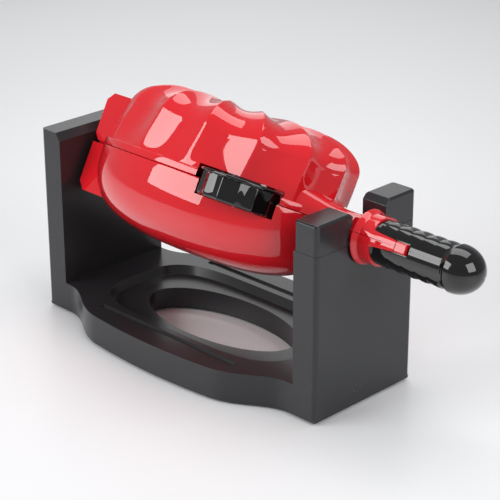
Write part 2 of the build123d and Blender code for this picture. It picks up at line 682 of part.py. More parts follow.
def mould(sign, depth):
    """Oval baking mould with a flange all round, cut away beside the dial."""
    top = sign * FLANGE_TOP
    with BuildPart() as outer:
        with BuildSketch(seam_plane(MOULD_X, MOULD_Y, top)):
            Ellipse(MOULD_A + MOULD_WALL, MOULD_B + MOULD_WALL)
        with BuildSketch(seam_plane(MOULD_X, MOULD_Y, sign * (depth + MOULD_WALL))):
            Ellipse(MOULD_FLOOR_A + MOULD_WALL, MOULD_FLOOR_B + MOULD_WALL)
        loft()
    with BuildPart() as piece:
        with BuildSketch(seam_plane(z=top)):
            Ellipse(FLANGE_A, FLANGE_B)
            with Locations((DIAL_X, DIAL_Y)):
                Circle(LID_POCKET_R + POCKET_SKIN + 1, mode=Mode.SUBTRACT)
        extrude(amount=sign * FLANGE_THICK)
        add(outer.part)
        with BuildSketch(seam_plane(MOULD_X, MOULD_Y, top)):
            Ellipse(MOULD_A, MOULD_B)
        with BuildSketch(seam_plane(MOULD_X, MOULD_Y, sign * depth)):
            Ellipse(MOULD_FLOOR_A, MOULD_FLOOR_B)
        loft(mode=Mode.SUBTRACT)
        with BuildSketch(seam_plane(z=top)):
            with Locations(*BOSS_PLACES):
                Circle(SCREW_HEAD_R)
        extrude(amount=sign * SCREW_HEAD_HEIGHT, mode=Mode.SUBTRACT)
        with BuildSketch(seam_plane(z=top)):
            with Locations(*BOSS_PLACES):
                Circle(SCREW_R)
        extrude(amount=sign * FLANGE_THICK, mode=Mode.SUBTRACT)
    return piece.part


def mould_screws(sign):
    """Screws that hold a mould's flange to the bosses."""
    with BuildPart() as piece:
        with BuildSketch(seam_plane(z=sign * FLANGE_TOP)):
            with Locations(*BOSS_PLACES):
                Circle(SCREW_HEAD_R)
        extrude(amount=sign * SCREW_HEAD_HEIGHT)
        with BuildSketch(seam_plane(z=sign * FLANGE_TOP)):
            with Locations(*BOSS_PLACES):
                Circle(SCREW_R)
        extrude(amount=sign * (FLANGE_THICK + SCREW_LENGTH))
    return piece.part


def element(sign, depth):
    """Oval heating tube that lies against the floor of a mould."""
    start = sign * (depth + MOULD_WALL)
    with BuildPart() as piece:
        with BuildSketch(seam_plane(MOULD_X, MOULD_Y, start)):
            Ellipse(ELEMENT_A + ELEMENT_R, ELEMENT_B + ELEMENT_R)
            Ellipse(ELEMENT_A - ELEMENT_R, ELEMENT_B - ELEMENT_R, mode=Mode.SUBTRACT)
        extrude(amount=sign * 2 * ELEMENT_R)
        fillet(piece.edges(), radius=0.7 * ELEMENT_R)
    return piece.part


def reflector(sign, depth):
    """Thin oval plate behind the heating tube."""
    start = sign * (depth + MOULD_WALL + 2 * ELEMENT_R)
    with BuildPart() as piece:
        with BuildSketch(seam_plane(MOULD_X, MOULD_Y, start)):
            Ellipse(REFLECTOR_A, REFLECTOR_B)
        extrude(amount=sign * REFLECTOR_THICK)
    return piece.part


save(mould(-1, LOWER_DEPTH), "lower_mould")
save(mould(1, UPPER_DEPTH), "upper_mould")
save(mould_screws(-1), "lower_mould_screws")
save(mould_screws(1), "upper_mould_screws")
save(element(-1, LOWER_DEPTH), "lower_heating_element")
save(element(1, UPPER_DEPTH), "upper_heating_element")
save(reflector(-1, LOWER_DEPTH), "lower_reflector")
save(reflector(1, UPPER_DEPTH), "upper_reflector")

# Thermostat under the dial, and the fuse on the reflector
THERMOSTAT_X, THERMOSTAT_Y = 66.0, -46.0
with BuildPart() as thermostat:
    with BuildSketch(seam_plane(THERMOSTAT_X, THERMOSTAT_Y, POCKET_FLOOR - POCKET_SKIN)):
        Rectangle(22, 20)
    extrude(amount=-12)
    with BuildSketch(seam_plane(DIAL_X, DIAL_Y, POCKET_FLOOR - POCKET_SKIN)):
        Circle(SPINDLE_R + RUNNING)
    extrude(amount=-6, mode=Mode.SUBTRACT)
save(thermostat.part, "thermostat")

with BuildPart() as thermal_fuse:
    with BuildSketch(seam_plane(MOULD_X, MOULD_Y, -LOWER_DEPTH - MOULD_WALL)):
        Rectangle(24, 7)
    extrude(amount=-2 * ELEMENT_R)
    fillet(thermal_fuse.edges().filter_by(Axis.X), radius=1.5)
save(thermal_fuse.part, "thermal_fuse")

# Dial: scalloped wheel with a flange on top, hollow underneath
with BuildPart() as dial:
    with BuildSketch(seam_plane(DIAL_X, DIAL_Y, DIAL_BOTTOM)):
        with BuildLine():
            for flute in range(DIAL_FLUTES):
                step = 360 / DIAL_FLUTES
                middle = DIAL_R - DIAL_FLUTE_DEPTH
                ThreePointArc(
                    oval_point(flute * step, 1, DIAL_R, DIAL_R),
                    oval_point((flute + 0.5) * step, 1, middle, middle),
                    oval_point((flute + 1) * step, 1, DIAL_R, DIAL_R),
                )
        make_face()
    extrude(amount=DIAL_STEP - DIAL_BOTTOM)
    with BuildSketch(seam_plane(DIAL_X, DIAL_Y, DIAL_STEP)):
        Circle(DIAL_FLANGE_R)
    extrude(amount=DIAL_TOP - DIAL_STEP)
    with BuildSketch(seam_plane(DIAL_X, DIAL_Y, DIAL_BOTTOM)):
        Circle(DIAL_R - DIAL_WALL)
        Circle(SPINDLE_R + 3, mode=Mode.SUBTRACT)
    extrude(amount=DIAL_STEP - DIAL_BOTTOM - 1, mode=Mode.SUBTRACT)
    with BuildSketch(seam_plane(DIAL_X, DIAL_Y, DIAL_BOTTOM)):
        Circle(SPINDLE_R)
    extrude(amount=12, mode=Mode.SUBTRACT)
save(dial.part, "dial")

with BuildPart() as dial_spindle:
    with BuildSketch(seam_plane(DIAL_X, DIAL_Y, DIAL_BOTTOM + 12)):
        Circle(SPINDLE_R)
    extrude(amount=-12 - (DIAL_BOTTOM - POCKET_FLOOR) - POCKET_SKIN - 5)
save(dial_spindle.part, "dial_spindle")

# Handle grips: one turned body with finger waves, split at the seam
WAVES, WAVE_START, WAVE_END = 5, 192.0, 258.0
WAVE_LOW, WAVE_HIGH = 18.2, 19.2
with BuildPart() as grip_body:
    with BuildSketch(front_plane()):
        with BuildLine():
            Line((GRIP_START, 0), (HANDLE_END, 0))
            Line((GRIP_START, 0), (GRIP_START, GRIP_FIT_R))
            Line((GRIP_START, GRIP_FIT_R), (COLLAR_END + 0.3, GRIP_FIT_R))
            Line((COLLAR_END + 0.3, GRIP_FIT_R), (COLLAR_END + 0.3, GRIP_R))
            Line((COLLAR_END + 0.3, GRIP_R), (WAVE_START, WAVE_LOW))
            wave = (WAVE_END - WAVE_START) / WAVES
            for number in range(WAVES):
                x = WAVE_START + number * wave
                ThreePointArc((x, WAVE_LOW), (x + wave / 2, WAVE_HIGH), (x + wave, WAVE_LOW))
            Line((WAVE_END, WAVE_LOW), (WAVE_END + 7, GRIP_R + 1))
            ThreePointArc((WAVE_END + 7, GRIP_R + 1), (HANDLE_END - 5.5, 14), (HANDLE_END, 0))
        make_face()
    revolve(axis=Axis(HEAD.origin, HEAD.x_dir))


def grip(sign):
    """Half of the grip, with room for the collar, tang, tongue and latch."""
    with BuildPart() as piece:
        add(grip_body.part)
        with BuildSketch(end_plane(GRIP_START - 1)):
            with Locations((0, sign * (SEAM_GAP / 2 - 50))):
                Rectangle(100, 100)
        extrude(amount=120, mode=Mode.SUBTRACT)
        with BuildSketch(end_plane(GRIP_START)):
            with Locations((0, sign * 3.5)):
                Rectangle(14, 5)
        extrude(amount=206 - GRIP_START, mode=Mode.SUBTRACT)
        with BuildSketch(end_plane(COLLAR_END - 1)):
            Circle(GRIP_R + 4)
            Circle(14.5, mode=Mode.SUBTRACT)
            with Locations((-15, 0)):
                Rectangle(20, 2 * TONGUE_HALF, mode=Mode.INTERSECT)
        extrude(amount=LATCH_END + 0.4 - COLLAR_END + 1, mode=Mode.SUBTRACT)
        with BuildSketch(end_plane(LATCH_START - 0.4)):
            with Locations((LATCH_POCKET_BACK - 9, sign * 2.5)):
                Rectangle(18, 5.2)
        extrude(amount=LATCH_END - LATCH_START + 0.8, mode=Mode.SUBTRACT)
    return piece.part


save(grip(-1), "lower_grip")
save(grip(1), "upper_grip")

# Latch button in the grip's front, pressed in against its spring
with BuildPart() as latch_button:
    with BuildSketch(end_plane(LATCH_START)):
        with Locations(((LATCH_FRONT + LATCH_BACK) / 2, 0)):
            Rectangle(LATCH_BACK - LATCH_FRONT, 2 * TONGUE_HALF - 0.8)
    extrude(amount=LATCH_END - LATCH_START)
    chamfer(latch_button.edges().filter_by(Axis.X).sort_by(Axis.Y)[:2], length=1)
save(latch_button.part, "latch_button")

with BuildPart() as latch_spring:
    with BuildSketch(front_plane(LATCH_POCKET_BACK)):
        with Locations(((LATCH_START + LATCH_END) / 2, 0)):
            Circle(2.2)
            Circle(1.4, mode=Mode.SUBTRACT)
    extrude(amount=LATCH_POCKET_BACK - LATCH_BACK - LATCH_TRAVEL - 0.2)
save(latch_spring.part, "latch_spring")
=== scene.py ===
"""Electric cake maker: a red fluted oval head that flips over in a black two-column stand.

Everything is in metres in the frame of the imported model. Pieces of the head are worked out in the
head's own axes, x to the handle, y to the back and z up from the seam, and then tilted into place.
"""

import json
import math

import bmesh
import bpy
import numpy as np
from bpy.props import FloatProperty, FloatVectorProperty, IntProperty, PointerProperty
from mathutils import Matrix, Vector


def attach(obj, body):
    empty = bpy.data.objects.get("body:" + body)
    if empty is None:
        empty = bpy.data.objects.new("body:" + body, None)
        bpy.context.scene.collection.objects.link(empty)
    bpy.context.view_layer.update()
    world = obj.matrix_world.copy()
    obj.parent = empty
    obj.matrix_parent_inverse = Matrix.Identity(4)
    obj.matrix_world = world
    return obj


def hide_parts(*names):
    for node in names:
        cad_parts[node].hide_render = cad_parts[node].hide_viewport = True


bl_info = {
    "name": "Electric Cake Maker",
    "version": (1, 0, 0),
    "blender": (4, 5, 0),
    "location": "View3D > Sidebar > Cake Maker",
    "description": "Builds the head, stand, handle and studio of a flip-over cake maker",
    "category": "Add Mesh",
}

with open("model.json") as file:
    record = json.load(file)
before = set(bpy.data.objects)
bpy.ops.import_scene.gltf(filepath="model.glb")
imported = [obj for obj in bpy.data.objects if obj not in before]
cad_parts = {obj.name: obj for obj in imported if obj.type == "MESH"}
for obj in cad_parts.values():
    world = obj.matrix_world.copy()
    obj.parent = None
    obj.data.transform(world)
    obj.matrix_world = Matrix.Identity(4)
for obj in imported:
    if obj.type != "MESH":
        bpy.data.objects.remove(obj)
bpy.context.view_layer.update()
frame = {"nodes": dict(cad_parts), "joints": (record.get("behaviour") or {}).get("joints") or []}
MM = 0.001
JOINTS = {joint["name"]: joint for joint in frame["joints"]}
FLIP_POINT = np.array(JOINTS["head_flip"]["pos_m"])
DIAL_POINT = np.array(JOINTS["dial_turn"]["pos_m"])
SEAM_NORMAL = np.array(JOINTS["dial_turn"]["axis"])
TILT = math.atan2(SEAM_NORMAL[1], SEAM_NORMAL[2])

# Edges past this angle in degrees stay sharp, unless a piece asks for another
SHARP_ANGLE = 35.0

# Places along the handle from the head's middle, the grip's shank, and the slit that the neck,
# the disc and the grip's rib leave at the seam
COLLAR_START = 171 * MM
NECK_END = 0.1712
DISC_END = 0.1762
COLLAR_END = 187 * MM
SHANK_RADIUS = 17 * MM
SEAM_SLIT = 0.02 * MM

# The cup that takes the dial: its wall and its rim's distance from the seam in millimetres, and
# the share of the shell's outline that it stays inside
CUP_WALL = 2.0
CUP_RIM = 3.2
CUP_INSET = 0.984


# Placing and meshing

def to_row(points):
    """Head axes to the row frame: a turn about x by the tilt, then a lift to the flip axis."""
    x, y, z = np.moveaxis(np.asarray(points, float), -1, 0)
    back = y * math.cos(TILT) + z * math.sin(TILT)
    up = z * math.cos(TILT) - y * math.sin(TILT)
    return np.stack([x, back, up], -1) + FLIP_POINT


def to_head(point):
    """Row frame to head axes, the other way round."""
    x, y, z = np.asarray(point, float) - FLIP_POINT
    return np.array([
        x,
        y * math.cos(TILT) - z * math.sin(TILT),
        y * math.sin(TILT) + z * math.cos(TILT),
    ])


def smooth_step(value, low, high):
    """0 below low, 1 above high, and a cubic in between."""
    t = np.clip((value - low) / (high - low), 0, 1)
    return t * t * (3 - 2 * t)


def ring_faces(rows, columns, around=True):
    """Quads between neighbouring rows of a grid; around joins the last column to the first."""
    r = np.arange(rows - 1)[:, None] * columns
    c = np.arange(columns if around else columns - 1)[None, :]
    n = (c + 1) % columns
    return np.stack([r + c, r + n, r + columns + n, r + columns + c], -1).reshape(-1, 4)


def closed_body(grid):
    """Vertices and faces of a closed body: rows of closed rings, and a fan at each end."""
    rows, columns = grid.shape[:2]
    points = np.concatenate([
        grid.reshape(-1, 3),
        grid[0].mean(axis=0, keepdims=True),
        grid[-1].mean(axis=0, keepdims=True),
    ])
    c = np.arange(columns)
    n = (c + 1) % columns
    first = np.full(columns, rows * columns)
    last = first + 1
    base = (rows - 1) * columns
    faces = ring_faces(rows, columns).tolist()
    faces += np.stack([n, c, first], -1).tolist()
    faces += np.stack([base + c, base + n, last], -1).tolist()
    return points, faces


def new_object(name, data):
    """Object in the scene for a mesh, a lamp or a camera."""
    made = bpy.data.objects.new(name, data)
    bpy.context.scene.collection.objects.link(made)
    return made


def new_piece(name, points, faces, sharp=SHARP_ANGLE):
    """Mesh object with outward faces, smooth shading and sharp edges past an angle."""
    mesh = bpy.data.meshes.new(name)
    mesh.from_pydata(np.asarray(points, float).tolist(), [], faces)
    mesh.validate()
    work = bmesh.new()
    work.from_mesh(mesh)
    bmesh.ops.remove_doubles(work, verts=work.verts, dist=1e-7)
    bmesh.ops.recalc_face_normals(work, faces=work.faces)
    work.to_mesh(mesh)
    work.free()
    piece = new_object(name, mesh)
    shade(piece, sharp)
    return piece


def shade(piece, sharp=SHARP_ANGLE):
    """Smooth shading with edges kept sharp past an angle in degrees."""
    piece.data.shade_smooth()
    piece.data.set_sharp_from_angle(angle=math.radians(sharp))


def solid_piece(name, grid, sharp=SHARP_ANGLE):
    """Closed body from rows of rings given in head axes."""
    points, faces = closed_body(grid)
    return new_piece(name, to_row(points), faces, sharp)


def settle(piece):
    """Keep what the modifiers make as the piece's own mesh."""
    bpy.context.view_layer.update()
    graph = bpy.context.evaluated_depsgraph_get()
    made = bpy.data.meshes.new_from_object(piece.evaluated_get(graph))
    piece.modifiers.clear()
    piece.data = made


def carve(piece, tool, operation="DIFFERENCE", keep=False):
    """Cut a tool from a piece, join it, or keep what they share. The tool goes unless kept."""
    cut = piece.modifiers.new("carve", "BOOLEAN")
    cut.operation = operation
    cut.object = tool
    cut.solver = "MANIFOLD"
    settle(piece)
    if not keep:
        bpy.data.objects.remove(tool)


def joined(name, pieces, sharp=SHARP_ANGLE):
    """One object from several, with their meshes side by side."""
    work = bmesh.new()
    for piece in pieces:
        work.from_mesh(piece.data)
        bpy.data.objects.remove(piece)
    mesh = bpy.data.meshes.new(name)
    work.to_mesh(mesh)
    work.free()
    whole = new_object(name, mesh)
    shade(whole, sharp)
    return whole


def clean_copy(node):
    """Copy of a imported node, with its loose triangles merged and joined into whole faces."""
    name = f"{node}_skin"
    work = bmesh.new()
    work.from_mesh(frame["nodes"][node].data)
    bmesh.ops.remove_doubles(work, verts=work.verts, dist=2e-6)
    bmesh.ops.dissolve_limit(
        work,
        angle_limit=math.radians(0.3),
        verts=work.verts,
        edges=work.edges,
        use_dissolve_boundaries=False,
    )
    mesh = bpy.data.meshes.new(name)
    work.to_mesh(mesh)
    work.free()
    return new_object(name, mesh)


def round_edges(piece, width, sharp=SHARP_ANGLE):
    """Bevel the edges past an angle, then weight the normals by face so that flats stay flat."""
    edge = piece.modifiers.new("edge", "BEVEL")
    edge.width = width
    edge.segments = 3
    edge.limit_method = "ANGLE"
    edge.angle_limit = math.radians(sharp)
    settle(piece)
    shade(piece, sharp)
    even = piece.modifiers.new("even", "WEIGHTED_NORMAL")
    even.keep_sharp = True
    settle(piece)


def place(piece, body, material, node):
    """Dress a piece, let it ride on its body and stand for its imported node."""
    piece.data.materials.clear()
    piece.data.materials.append(material)
    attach(piece, body)
    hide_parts(node)


# Shader expressions

class Signal:
    """One output socket of a material, with Python's operators adding Math nodes."""

    def __init__(self, finish, socket):
        self.finish = finish
        self.socket = socket

    def _math(self, operation, first, second):
        return self.finish.add("ShaderNodeMath", {"operation": operation}, {0: first, 1: second})

    def __add__(self, other):
        return self._math("ADD", self, other)

    def __radd__(self, other):
        return self._math("ADD", other, self)

    def __sub__(self, other):
        return self._math("SUBTRACT", self, other)

    def __rsub__(self, other):
        return self._math("SUBTRACT", other, self)

    def __mul__(self, other):
        return self._math("MULTIPLY", self, other)

    def __rmul__(self, other):
        return self._math("MULTIPLY", other, self)


class Finish:
    """A material under construction: one Principled shader and the nodes that feed it."""

    def __init__(self, name):
        self.material = bpy.data.materials.new(name)
        self.material.use_nodes = True
        self.tree = self.material.node_tree
        self.tree.nodes.clear()
        output = self.tree.nodes.new("ShaderNodeOutputMaterial")
        self.shader = self.tree.nodes.new("ShaderNodeBsdfPrincipled")
        self.tree.links.new(self.shader.outputs[0], output.inputs["Surface"])
        self.coordinates = self.add("ShaderNodeTexCoord", output="Object")

    def plug(self, target, value):
        """Give a socket a link or a plain value."""
        if isinstance(value, Signal):
            self.tree.links.new(value.socket, target)
        else:
            target.default_value = value

    def add(self, kind, settings=None, inputs=None, output=0):
        """New node of a kind: settings first, then the values or links of its sockets."""
        node = self.tree.nodes.new(kind)
        for key, value in (settings or {}).items():
            if key == "stops":
                ramp = node.color_ramp
                for stop, (position, colour) in zip(ramp.elements, value):
                    stop.position = position
                    stop.color = colour
            else:
                setattr(node, key, value)
        for key, value in (inputs or {}).items():
            self.plug(node.inputs[key], value)
        return Signal(self, node.outputs[output])

    def noise(self, scale, detail=3.0, roughness=0.5, stretch=None):
        """Fractal noise on the object's own coordinates, stretched along an axis if asked."""
        vector = self.coordinates
        if stretch:
            vector = self.add("ShaderNodeMapping", inputs={"Vector": vector, "Scale": stretch})
        return self.add(
            "ShaderNodeTexNoise",
            inputs={"Vector": vector, "Scale": scale, "Detail": detail, "Roughness": roughness},
        )

    def cells(self, scale):
        """Distance to the nearest point of a scattered set."""
        vector = self.coordinates
        return self.add("ShaderNodeTexVoronoi", inputs={"Vector": vector, "Scale": scale})

    def blend(self, factor, first, second):
        """Colour between two colours."""
        return self.add(
            "ShaderNodeMix",
            {"data_type": "RGBA"},
            {0: factor, 6: first, 7: second},
            output=2,
        )

    def relief(self, height, strength, distance):
        """Bump from a height signal, as deep as the distance where the strength is 1."""
        return self.add(
            "ShaderNodeBump",
            inputs={"Height": height, "Strength": strength, "Distance": distance},
        )

    def surface(self, **inputs):
        """Set the shader's sockets by their names, with _ for a space."""
        for key, value in inputs.items():
            self.plug(self.shader.inputs[key.replace("_", " ")], value)
        return self.material


def tinted(colour, share):
    """Colour scaled towards black or up, with its alpha kept."""
    return tuple(min(1.0, channel * share) for channel in colour[:3]) + (1.0,)


def moulded_gloss(name, colour, roughness, coat=0.6):
    """Polished injection moulding: a faint flow ripple, dust specks and handling haze."""
    make = Finish(name)
    flow = make.noise(9.0, 2.0)
    haze = make.noise(55.0, 4.0, 0.6)
    dust = make.cells(900.0)
    specks = (0.045 - dust) * 9.0
    base = make.blend(flow, tinted(colour, 0.94), tinted(colour, 1.05))
    return make.surface(
        Base_Color=base,
        Roughness=roughness + haze * 0.05 + specks * 0.02,
        IOR=1.5,
        Coat_Weight=coat,
        Coat_Roughness=0.03,
        Normal=make.relief(flow + haze * 0.03, 0.05, 0.0008),
    )


def moulded_satin(name, colour, roughness, grain):
    """Fine-textured black moulding: a spark-eroded grain under a soft, slightly cloudy sheen."""
    make = Finish(name)
    cloud = make.noise(14.0, 3.0)
    pits = make.noise(1900.0, 2.0, 0.6)
    coarse = make.noise(620.0, 2.0)
    base = make.blend(cloud, tinted(colour, 0.85), tinted(colour, 1.2))
    return make.surface(
        Base_Color=base,
        Roughness=roughness + (cloud - 0.5) * 0.12 + (coarse - 0.5) * 0.1,
        IOR=1.46,
        Normal=make.relief(pits + coarse * 0.6, grain, 0.00006),
    )


def brushed_metal(name, colour):
    """Drawn or turned metal with fine lines along x."""
    make = Finish(name)
    lines = make.noise(60.0, 4.0, 0.6, stretch=(1.0, 40.0, 40.0))
    cloud = make.noise(25.0, 3.0)
    return make.surface(
        Base_Color=make.blend(cloud, tinted(colour, 0.85), tinted(colour, 1.1)),
        Metallic=1.0,
        Roughness=0.3 + (lines - 0.5) * 0.2,
        Normal=make.relief(lines, 0.15, 0.00004),
    )


def nonstick(name, colour):
    """Dark coated aluminium: tiny pale flecks, soft gloss and a light orange peel."""
    make = Finish(name)
    peel = make.noise(420.0, 3.0)
    speck = make.cells(1500.0)
    flecks = (0.12 - speck) * 6.0
    pale = tinted(colour, 2.2)
    return make.surface(
        Base_Color=make.blend(make.add("ShaderNodeClamp", inputs={0: flecks}), colour, pale),
        Metallic=0.35,
        Roughness=0.34 + (peel - 0.5) * 0.1,
        Normal=make.relief(peel, 0.2, 0.00005),
    )


def rubber(name, colour):
    """Matt rubber with a dusty bloom."""
    make = Finish(name)
    bloom = make.noise(160.0, 4.0)
    return make.surface(
        Base_Color=make.blend(bloom, tinted(colour, 0.8), tinted(colour, 1.6)),
        Roughness=0.75 + (bloom - 0.5) * 0.2,
        Normal=make.relief(bloom, 0.3, 0.0001),
    )


def burnt_tube(name, colour):
    """Heating tube: dark steel with straw-coloured heat tints."""
    make = Finish(name)
    heat = make.noise(40.0, 3.0)
    tint = make.add(
        "ShaderNodeValToRGB",
        {"stops": ((0.35, tuple(colour)), (0.75, (0.28, 0.19, 0.11, 1.0)))},
        {0: heat},
    )
    return make.surface(Base_Color=tint, Metallic=1.0, Roughness=0.35 + (heat - 0.5) * 0.3)


# Sizes and colours that a user may change

def length(name, default, description):
    """Property for a length in metres."""
    return FloatProperty(
        name=name, default=default, description=description, unit="LENGTH", precision=4
    )


def colour(name, default, description):
    """Property for a linear colour."""
    return FloatVectorProperty(
        name=name, default=default, description=description, subtype="COLOR", size=4, min=0, max=1
    )


class CakeMakerHeadSizes(bpy.types.PropertyGroup):
    """Sizes of the head in its own axes."""

    half_length: length("Half length", 0.126, "From the head's middle to its end at the seam")
    half_width: length("Half width", 0.083, "From the head's middle to its front at the seam")
    bowl_depth: length("Bowl depth", 0.065, "From the seam to the bowl's underside")
    bowl_power: FloatProperty(name="Bowl power", default=2.9, description="Squareness of the bowl")
    lid_height: length("Lid height", 0.0685, "From the seam to the top of the ridges")
    ridge_rise: length("Ridge rise", 0.0035, "Height of the ridges over the hollows")
    top_middle: length("Top middle", 0.0650, "From the seam to the middle of the top")
    lid_lean: length("Lid lean", 0.007, "Shift of the lid's upper part to the handle")
    band: length("Band", 0.007, "Height of the smooth band over the seam")
    flutes: IntProperty(name="Flutes", default=14, description="Hollows around the lid", min=6)
    gap: length("Seam gap", 0.0004, "Open gap between bowl and lid")


class CakeMakerHandleSizes(bpy.types.PropertyGroup):
    """Sizes of the neck, collar, grip and dial."""

    neck_radius: length("Neck radius", 0.015, "Radius of the round neck")
    neck_half_width: length("Neck half width", 0.0085, "Half width of the lid's narrow neck")
    collar_radius: length("Collar radius", 0.0205, "Radius of the red collar")
    grip_radius: length("Grip radius", 0.019, "Radius of the grip, about at its wave crests")
    waves: IntProperty(name="Waves", default=5, description="Finger waves on the grip", min=1)
    wave_height: length("Wave height", 0.0011, "Height of a finger wave")
    dial_radius: length("Dial radius", 0.034, "Radius of the dial's fluted wheel")
    dial_flange: length("Dial flange", 0.0362, "Radius of the dial's top flange")
    dial_flutes: IntProperty(name="Dial flutes", default=14, description="Hollows on the dial")
    dial_hollow: length("Dial hollow", 0.0015, "Depth of a hollow on the dial")


class CakeMakerColours(bpy.types.PropertyGroup):
    """Colours of the finishes."""

    red: colour("Red", (0.72, 0.012, 0.02, 1.0), "Gloss red of the head")
    # The latch's darker red is painted shade: it stands in for the shade on the button's angled
    # face
    latch_red: colour("Latch red", (0.62, 0.006, 0.012, 1.0), "Darker red of the latch: painted shade of its angled face")
    stand_black: colour("Stand black", (0.024, 0.0245, 0.027, 1.0), "Satin black of the stand")
    gloss_black: colour("Gloss black", (0.003, 0.003, 0.0035, 1.0), "Black of the grip and dial")
    steel: colour("Steel", (0.55, 0.55, 0.57, 1.0), "Bright steel")
    coating: colour("Coating", (0.035, 0.035, 0.037, 1.0), "Non-stick coating of the moulds")
    floor: colour("Floor", (0.90, 0.905, 0.915, 1.0), "Pale studio floor")


def head_sizes():
    """Sizes of the head as they are set now."""
    return bpy.context.scene.cake_maker_head


def handle_sizes():
    """Sizes of the handle and dial as they are set now."""
    return bpy.context.scene.cake_maker_handle


def colours():
    """Colours as they are set now."""
    return bpy.context.scene.cake_maker_colours


def finish(kind):
    """Material of one of the object's finishes, made once."""
    name = f"cake_maker_{kind}"
    if name in bpy.data.materials:
        return bpy.data.materials[name]
    shades = colours()
    makers = {
        "red": lambda: moulded_gloss(name, shades.red, 0.06),
        # Darker red of the latch: painted shade of its angled face, with a rougher gloss
        "latch_red": lambda: moulded_gloss(name, shades.latch_red, 0.16),
        "stand_black": lambda: moulded_satin(name, shades.stand_black, 0.23, 0.15),
        "inner_black": lambda: moulded_satin(name, shades.gloss_black, 0.5, 0.3),
        "gloss_black": lambda: moulded_gloss(name, shades.gloss_black, 0.05, coat=0.5),
        "steel": lambda: brushed_metal(name, shades.steel),
        "coating": lambda: nonstick(name, shades.coating),
        "tube": lambda: burnt_tube(name, (0.12, 0.12, 0.13, 1.0)),
        "rubber": lambda: rubber(name, (0.012, 0.012, 0.012, 1.0)),
    }
    return makers[kind]()


# Shapes of the head

def full_turn(columns):
    """Even angles round a full turn, as one row."""
    return np.arange(columns)[None, :] * 2 * math.pi / columns


def oval_rows(share, z, angle, a, b):
    """Rows of ovals: the half axes a and b scaled by share, at height z."""
    share, z = np.broadcast_arrays(share, z)
    x = a * share * np.cos(angle)
    y = b * share * np.sin(angle)
    return np.stack(np.broadcast_arrays(x, y, z), -1)


def head_rows(share, z, columns):
    """Rows of ovals of the head: its half axes at the seam scaled by share, at height z."""
    size = head_sizes()
    return oval_rows(share, z, full_turn(columns), size.half_length, size.half_width)


def soft_sine(angle, soft):
    """|sine| with a rounded corner: the root of sine squared plus soft squared, less soft."""
    return np.sqrt(np.sin(angle) ** 2 + soft * soft) - soft


def quarter(count, power):
    """Quarter of a superellipse as (width, height) shares, from the side to the pole."""
    turn = np.linspace(0, math.pi / 2, count)
    width = np.cos(turn) ** (2 / power)
    height = np.sin(turn) ** (2 / power)
    return width[:, None], height[:, None]


def lean(z):
    """Shift of the lid's upper part towards the handle at heights z, in metres."""
    return head_sizes().lid_lean * smooth_step(z, 2 * MM, 55 * MM)


def lid_grid(columns):
    """Lid's outside from its top to the seam. Two profiles are blended by the softened |sine| of
    half the flute angle: one for the ridges and one for the hollows. Each has a side that leans
    in, a quarter ellipse over the shoulder, and a top that eases to one height in the middle."""
    size = head_sizes()
    soft = 0.03
    wave = soft_sine(full_turn(columns) * size.flutes / 2, soft)
    hollow = wave / (math.sqrt(1 + soft * soft) - soft)
    up = np.linspace(0, 1, 26)
    turn = np.linspace(0, math.pi / 2, 42)[1:]
    way = np.linspace(0, 1, 26)[1:]

    def profile(start, draft, power, shoulder, flat, crown):
        """Share and height of one profile, from the middle of the top to the band."""
        side_share = start - draft * up ** power
        side_z = size.band + (shoulder - size.band) * up
        end = side_share[-1]
        share = np.concatenate([
            side_share, flat + (end - flat) * np.cos(turn), flat * (1 - way),
        ])
        z = np.concatenate([
            side_z,
            shoulder + (crown - shoulder) * np.sin(turn),
            crown - (crown - size.top_middle) * smooth_step(way, 0, 1),
        ])
        return share[::-1, None], z[::-1, None]

    top = size.lid_height
    ridge = profile(
        start=0.985, draft=0.030, power=1.5, shoulder=top - 27.5 * MM, flat=0.56, crown=top
    )
    valley = profile(
        start=0.962, draft=0.060, power=0.8, shoulder=top - 30.0 * MM, flat=0.50,
        crown=top - size.ridge_rise,
    )
    share = ridge[0] + (valley[0] - ridge[0]) * hollow
    z = ridge[1] + (valley[1] - ridge[1]) * hollow
    dome = head_rows(share, z, columns)
    dome[..., 0] += lean(z)
    edge = size.gap / 2
    band = np.array([
        (0.990, size.band - 0.2 * MM),
        (0.997, size.band - 0.7 * MM),
        (1.000, size.band - 1.6 * MM),
        (1.000, edge + 1.0 * MM),
        (0.998, edge + 0.3 * MM),
        (0.993, edge),
    ])
    return np.concatenate([dome, head_rows(band[:, :1], band[:, 1:], columns)])


def lid_core_grid(columns):
    """Lid's inside: ovals whose share of the seam's oval is read from a table by height in
    millimetres, shifted to the handle as the outside is."""
    table = np.array([
        (-1.0, 0.958), (4.0, 0.945), (12.0, 0.915), (30.0, 0.880), (40.0, 0.855), (48.0, 0.800),
        (54.0, 0.730), (57.5, 0.620), (59.0, 0.520),
    ])
    z = np.concatenate([np.linspace(-1, 50, 30), np.linspace(51, 59, 14)])[:, None]
    core = head_rows(np.interp(z, table[:, 0], table[:, 1]), z * MM, columns)
    core[..., 0] += lean(z * MM)
    return core


def bowl_core_grid(columns):
    """Bowl's inside, from just over its rim to its pole: the outside's superellipse, smaller by
    a wall."""
    size = head_sizes()
    width, height = quarter(60, size.bowl_power)
    over_rim = 1 * MM
    depth = size.bowl_depth - 2.8 * MM
    return head_rows(0.965 * width, over_rim - depth * height, columns)


def bowl_grid(columns):
    """Bowl's outside from its pole to the seam: a quarter superellipse, swept round the oval,
    with a small lip at its rim."""
    size = head_sizes()
    width, height = quarter(72, size.bowl_power)
    edge = size.gap / 2
    lip_height = 1.0 * MM
    z = -edge - lip_height - (size.bowl_depth - lip_height - edge) * height
    bowl = head_rows(width[::-1], z[::-1], columns)
    lip = np.array([(0.998, -edge - 0.3 * MM), (0.993, -edge)])
    return np.concatenate([bowl, head_rows(lip[:, :1], lip[:, 1:], columns)])


